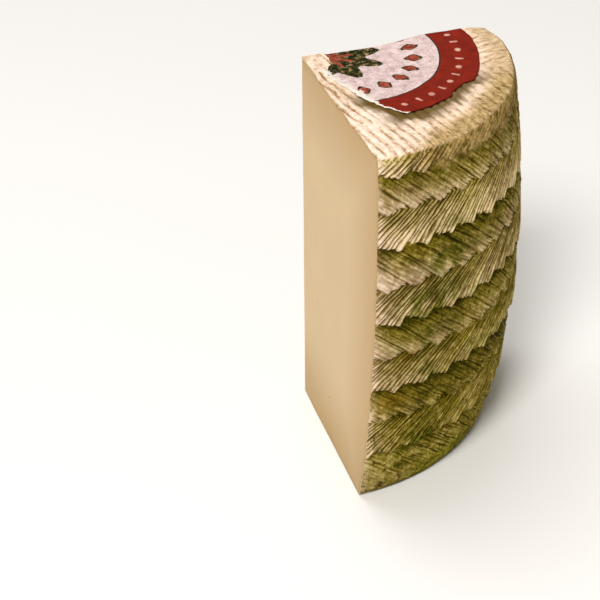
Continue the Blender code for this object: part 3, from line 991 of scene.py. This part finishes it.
def side_tone(side, arc, z, drift, near_cut, cut_edge):
    """Tone of the plaited side, with its grooves, its patches and its foot, and painted shade under the
    rows' tips and at the foot's lowest edge.
    """
    right = RIGHT_ROWS[side.row]
    foot_row = side.row == FOOT_ROW
    down = 1 - side.up
    bend = np.where(right, down, down**1.2)
    tone = np.where(right, *STRAW_TONE) + np.where(right, *STRAW_TONE_RISE) * bend
    tone += np.array(ROW_TONES)[side.row]
    tone = tone + NEAR_RIM_TONE * (side.row == 0) * smooth(*NEAR_RIM_ARCS, arc)
    pale_rim = (side.row == 0) * smooth(0.3, 1.0, side.up) * smooth(*PALE_RIM_ARCS, arc)
    tone = tone + PALE_RIM_TONE * pale_rim
    dark = np.where(right, *GROOVE_TONE)
    dark -= np.where(right, GROOVE_TONE_LOSS, 0.0) * smooth(*GROOVE_LOSS_ARCS, arc)
    dark = dark * (1.0 + 0.4 * foot_row) * (1.0 - 0.5 * pale_rim)
    tone = tone - dark * side.groove**0.8 + 0.18 * side.beads
    # Painted shade just under the overhanging tips of the row above.
    painted_tip_shade = np.where(right, *UNDER_TIP_PAINTED_SHADE) * (1 - smooth(*UNDER_TIP_SHADE_WIDTHS, side.below_edge))
    tone = (tone - painted_tip_shade) * (0.7 + 0.3 * smooth(0.1, 0.8, z / TOP_Z)) + 0.08 * drift
    tone = tone + (0.03 + 0.06 * smooth(0.06, 0.02, z)) * near_cut + CUT_EDGE_TONE * cut_edge
    tone = tone + PALE_PATCH_TONE * patches(PALE_PATCHES, arc, z) + 0.19 * foot_row
    foot = 0.8 * smooth(*FOOT_BAND_HEIGHTS, z + 0.0012 * drift)
    # The foot's lowest edge is darkened: painted contact shade.
    tone = blended(foot, tone, FOOT_TONE - FOOT_CONTACT_PAINTED_SHADE * smooth(*FOOT_CONTACT_SHADE_HEIGHTS, z))
    return tone - 0.08 * smooth(-0.03, -0.016, arc) * smooth(0.012, 0.004, z)


def top_tone(groove, x, y, tan):
    """Tone of the top: darker in its grooves, past the label and at the left of its front."""
    tone = TOP_TONE - TOP_GROOVE_TONE * groove**1.2 * (1.0 - 0.65 * tan) - TAN_TONE * tan
    tone -= 0.08 * smooth(0.012, 0.034, x + 0.3 * y + 0.02) * (1 - tan)
    return tone - 0.22 * smooth(-0.038, -0.024, y) * smooth(0.002, -0.006, x)


def dress_cheese(mesh):
    """Stores what the materials read: depth under the rind, tones, straw directions."""
    x, y, z = coordinates(mesh).T
    radius = np.hypot(x, y)
    angle = np.arctan2(y, x) + math.pi / 2.0
    arc = np.where(angle > math.pi, angle - math.tau, angle) * WIDEST_RADIUS
    height = z / TOP_Z
    inside = np.clip(np.minimum(side_radius(z) - radius, TOP_Z - z), 0.0, z + 0.0004)
    store(mesh, "rind_depth", inside / MM)
    side = belt(arc, z)
    top = board(x, y)
    right = RIGHT_ROWS[side.row]
    down = 1 - side.up
    plain_z = z + top.depth + top_wear(arc, radius)
    on_top = smooth(0.4, 0.9, (plain_z - TOP_Z + RIM_ROUND) / RIM_ROUND)
    on_top *= (radius < side_radius(TOP_Z) - 0.3 * RIM_ROUND)
    on_side = 1 - on_top
    tan = tan_band(x, y)
    drift = noise(arc / 0.011, z / 0.009, 0.7, 61)
    near_cut = smooth(*NEAR_CUT_ARCS, arc) * smooth(*NEAR_CUT_HEIGHTS, z)
    cut_edge = smooth(*CUT_EDGE_WIDTHS, cut_distance(x, y, z)) * (0.6 + 0.4 * drift)
    uneven_z = z + 0.0014 * noise(arc / 0.0026, z / 0.003, 1.9, 64)
    rubbed = smooth(*SHOULDER_HEIGHTS, uneven_z)
    shoulder = smooth(*WORN_ARCS, arc) * rubbed

    tone = side_tone(side, arc, z, drift, near_cut, cut_edge)
    worn_tone = 0.53 - 0.9 * side.groove + 0.2 * side.beads - 0.15 * smooth(-0.014, 0.004, arc)
    tone = blended(shoulder, tone, worn_tone)
    store(mesh, "tone", blended(on_top, tone, top_tone(top.groove, x, y, tan)))
    pale = np.where(right, 0.12, 0.0) + np.where(right, 0.4, 0.62) * down**1.5
    pale = pale * smooth(0.1, 0.6, height) * (1.0 - 0.55 * smooth(-0.048, -0.022, arc))
    pale = pale + 0.08 * near_cut + 0.4 * cut_edge
    store(mesh, "pale", blended(on_top, pale, 0.97))
    store(mesh, "ochre", np.maximum(rubbed * on_side * smooth(-0.049, -0.036, arc), tan * on_top))
    # Partly a damp stain, partly painted shadow under the label's lifted edge.
    store(mesh, "stain_and_painted_shadow", 0.98 * label_stain_and_painted_shadow(x, y) * on_top)

    green = 0.12 + np.where(right, 0.5, 0.95) * side.up + 0.4 * drift
    green += (0.15 + 0.3 * smooth(0.075, 0.045, z)) * smooth(-0.045, -0.01, arc)
    green += 0.45 * smooth(0.8, 0.15, height)
    green = np.clip(green - 0.3 * near_cut - 0.6 * cut_edge, 0, 1)
    store(mesh, "green", green * on_side * (1 - shoulder))
    foot_green = smooth(0.015, 0.003, z) * (0.15 + 0.85 * smooth(-0.05, -0.026, arc))
    foot_green *= (1.0 - 0.4 * smooth(-0.022, -0.002, arc))
    store(mesh, "foot_green", foot_green * (1.0 - 0.7 * cut_edge))
    blots = 0.25 + 1.05 * smooth(-0.4, 0.3, noise(arc / 0.004, z / 0.0034, 2.7, 63))
    patina = np.clip(patches(DARK_PATCHES, arc, z) * blots, 0, 1)
    store(mesh, "patina", patina * on_side)
    store(mesh, "brown", patches(BROWN_PATCHES, arc, z) * (1.0 - 0.6 * cut_edge))
    store(mesh, "spot", np.clip(patches(DARK_SPOTS, arc, z), 0.0, 1.0))
    store(mesh, "mould", smooth(0.75, 0.0, height) * on_side)

    # Coordinates across and along the straw; the third keeps each row's noise its own.
    side_straw = np.stack([side.across, side.along, side.row * 7.0], axis=1)
    worn_straw = np.stack([arc / MM * 0.5, z / MM * 2.0, np.full(x.shape, 95.0)], axis=1)
    side_straw += (worn_straw - side_straw) * shoulder[:, None]
    top_straw = np.stack([top.across, top.along, np.full(x.shape, 90.0)], axis=1)
    store(mesh, "straw", np.where(on_top[:, None] > 0.5, top_straw, side_straw))


def patches(table, arc, z):
    """Soft oval patches on the side, given in millimetres: their strength at each point."""
    total = np.zeros(arc.shape)
    for middle, level, wide, high, strength in table:
        oval = np.exp(-(((arc / MM - middle) / wide) ** 2) - ((z / MM - level) / high) ** 2)
        total = np.maximum(total, strength * oval)
    return total


def label_stain_and_painted_shadow(x, y):
    """The dark band on the top along the front of the label's edge: partly a damp stain, partly painted
    shadow of the lifted paper.
    """
    spots = np.stack([x, y], axis=1)
    reach, turned = from_label_centre(spots)
    circle = np.abs(reach - LABEL_RADIUS + label_bite((turned + math.pi / 2.0) % math.tau))
    tear = distance_to(TEAR_CORNERS, spots)
    across = -x * math.sin(FRONT_HEADING) + y * math.cos(FRONT_HEADING)
    along = x * math.cos(FRONT_HEADING) + y * math.sin(FRONT_HEADING)
    streaks = 1.0 + 0.4 * noise(across / 0.0012, along / 0.009, 0.0, 62)
    front = 1 - smooth(0.0014, 0.006, circle / streaks)
    front = front * smooth(-1.2, -1.55, turned) * smooth(-2.42, -2.22, turned)
    left = (1 - smooth(0.0018, 0.0058, tear / streaks)) * smooth(-0.024, -0.035, y)
    return np.maximum(front, left * smooth(-0.06, -0.052, y))


def shade(thing):
    """Smooth faces, with a hard edge only where a knife cut ends."""
    shape = bmesh.new()
    shape.from_mesh(thing.data)
    for face in shape.faces:
        face.smooth = True
    for edge in shape.edges:
        kinds = {face.material_index for face in edge.link_faces}
        flat_pair = len(kinds) == 1 and 1 in kinds and edge.calc_face_angle(0.0) > HARD_ANGLE
        edge.smooth = len(kinds) == 1 and not flat_pair
    shape.to_mesh(thing.data)
    shape.free()


def make_cheese():
    finishes = (rind_material(), paste_material())
    cheese = drum("cheese", finishes)
    boolean(cheese, knife_block("knife_block", finishes), "INTERSECT")
    boolean(cheese, eyes("eyes", finishes), "DIFFERENCE")
    shade(cheese)
    dress_cheese(cheese.data)
    put_in_place(cheese.data)
    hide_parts("wedge")
    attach(cheese, "root")


# ---- the label


def label_bite(turns):
    """How much paper is worn off the label's round edge, at angles from the front."""
    worn = LABEL_BITE * smooth(0.08, 0.0, turns)
    worn += LABEL_BITE * smooth(math.tau - 0.9, math.tau - 0.5, turns)
    notch = smooth(0.1, 0.03, turns) + smooth(math.tau - 0.2, math.tau - 0.14, turns)
    return worn + LABEL_BITE * notch


def from_label_centre(spots):
    """How far points lie from the label's centre, and in which direction."""
    offset = spots[:, :2] - np.array(LABEL_CENTRE)[:2]
    return np.hypot(*offset.T), np.arctan2(offset[:, 1], offset[:, 0])


def label_curl(spots):
    """How far the paper stands off the top: its free edge curls up at the front."""
    reach, turned = from_label_centre(spots)
    rise = smooth(LABEL_RADIUS - LABEL_CURL_WIDTH, LABEL_RADIUS, reach)
    return LABEL_CURL * rise * smooth(0.2, 1.0, np.cos(turned - LABEL_CURL_HEADING))


def tear_line():
    """The torn edge, ragged at two scales."""
    corners = []
    for start, end in zip(TEAR_CORNERS, TEAR_CORNERS[1:]):
        along = (end - start).normalized()
        sideways = Vector((-along.y, along.x, 0.0))
        steps = round((end - start).length / TEAR_STEP)
        for step in range(steps):
            place = start.lerp(end, step / steps)
            lump = noise(place.x / TEAR_LUMP_SIZE, place.y / TEAR_LUMP_SIZE, 0.0, 51)
            rag = draw.uniform(-TEAR_RAG, TEAR_RAG)
            corners.append(place + sideways * (float(lump) * TEAR_LUMPS + rag))
    return [*corners, TEAR_CORNERS[-1]]


def distance_to(line, spots):
    """Smallest flat distance from each spot to a line of corners."""
    nearest = np.full(len(spots), 1.0)
    for start, end in zip(line, line[1:]):
        a = np.array(start)[:2]
        run = np.array(end)[:2] - a
        share = np.clip(((spots[:, :2] - a) @ run) / (run @ run), 0, 1)
        nearest = np.minimum(nearest, np.hypot(*(spots[:, :2] - a - share[:, None] * run).T))
    return nearest


def make_label():
    turns = np.arange(LABEL_SPOKES) / LABEL_SPOKES * math.tau
    edge = 1.0
    for waves, share, seed in LABEL_EDGE_WAVES:
        edge += share * noise(np.cos(turns) * waves, np.sin(turns) * waves, 0.0, seed)
    edge -= label_bite(turns) / LABEL_RADIUS
    steps = np.arange(1, LABEL_RINGS + 1) / LABEL_RINGS * LABEL_RADIUS
    spots = [around(turns, step * edge, TOP_Z + LABEL_GAP) for step in steps]
    spots = np.concatenate(spots) + np.array(LABEL_CENTRE)
    x, y, _ = spots.T
    crinkle = layered_noise(x, y, 0.0, LABEL_CRINKLES)
    ground = top_unevenness(x, y) - LABEL_DRAPE * board(x, y).depth
    spots[:, 2] += label_curl(spots) + crinkle + ground
    faces = [tuple(range(LABEL_SPOKES))]
    for ring in range(LABEL_RINGS - 1):
        faces += ring_faces(ring * LABEL_SPOKES, LABEL_SPOKES, LABEL_SPOKES)
    label = new_object("paper_label", spots, faces, (label_material(),))
    sheet = label.modifiers.new("paper", "SOLIDIFY")
    sheet.thickness = LABEL_THICKNESS
    sheet.offset = 1.0
    apply_modifiers(label)
    line = tear_line()
    boolean(label, label_outline(line), "INTERSECT")
    mesh = label.data
    for face in mesh.polygons:
        face.use_smooth = True
    spots = coordinates(mesh)
    store(mesh, "from_middle", from_label_centre(spots)[0] / MM)
    store(mesh, "from_tear", distance_to(line, spots) / MM)
    store(mesh, "flat", (spots - np.array(LABEL_CENTRE)) / MM)
    put_in_place(mesh)
    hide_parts("label")
    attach(label, "root")


def label_outline(line):
    """A block over what is left of the label: right of the tear, inside the knife's cut."""
    right = heading(RIGHT_CUT)
    inward = Vector((right.y, -right.x, 0.0))
    start = CUT_LINE_TOP + inward * LABEL_EDGE_INSET
    start.z = 0.0
    front = Vector((0.0, -KNIFE_REACH, 0.0))
    corners = [*line, start + right * 0.002, start + right * KNIFE_REACH, front]
    corners.append(TEAR_CORNERS[0] + front / 2.0)
    shape = bmesh.new()
    low = Vector((0.0, 0.0, TOP_Z - KNIFE_MARGIN))
    first = shape.faces.new([shape.verts.new(corner + low) for corner in corners])
    grown = bmesh.ops.extrude_face_region(shape, geom=[first])["geom"]
    tops = [item for item in grown if isinstance(item, bmesh.types.BMVert)]
    bmesh.ops.translate(shape, verts=tops, vec=(0.0, 0.0, 2.0 * KNIFE_MARGIN))
    return block_from(shape, "outline")


# ---- stage, light and camera


def make_floor():
    net = Net("floor")
    shade_of = net.noise(net.place(), 3.0, 2.0)
    colour = net.change(shade_of, 0.3, 0.7, (0.88, 0.89, 0.92), (0.9, 0.91, 0.94))
    spots = [(x * FLOOR_REACH, y * FLOOR_REACH, 0.0) for x, y in ((-1, -1), (1, -1), (1, 1), (-1, 1))]
    floor = new_object("floor", spots, [(0, 1, 2, 3)], (net.finish(Base_Color=colour, Roughness=0.7),))
    floor.location.z = -FLOOR_DROP


def make_lights():
    for name, place, size, power, colour in LIGHTS:
        data = bpy.data.lights.new(name, "AREA")
        data.shape = "DISK"
        data.size = size
        data.energy = power
        data.color = colour
        light = linked(name, data)
        light.location = place
        light.rotation_euler = (LIT_MIDDLE - Vector(place)).to_track_quat("-Z", "Y").to_euler()
    world = bpy.data.worlds.new("studio")
    world.use_nodes = True
    sky = world.node_tree.nodes["Background"]
    sky.inputs["Color"].default_value = SKY_COLOUR
    sky.inputs["Strength"].default_value = SKY_STRENGTH
    bpy.context.scene.world = world
    bpy.context.scene.view_settings.view_transform = "Standard"


def make_camera():
    data = bpy.data.cameras.new("camera")
    data.lens = CAMERA_LENS
    data.sensor_width = CAMERA_SENSOR
    camera = linked("camera", data)
    look = Matrix.Rotation(CAMERA_HEADING, 4, "Z")
    look = look @ Matrix.Rotation(math.pi / 2.0 - CAMERA_PITCH, 4, "X")
    look = look @ Matrix.Rotation(CAMERA_ROLL, 4, "Z")
    camera.matrix_world = Matrix.Translation(CAMERA_PLACE + DRUM_AXIS) @ look
    bpy.context.scene.camera = camera


make_camera()
make_lights()
make_floor()
make_cheese()
make_label()
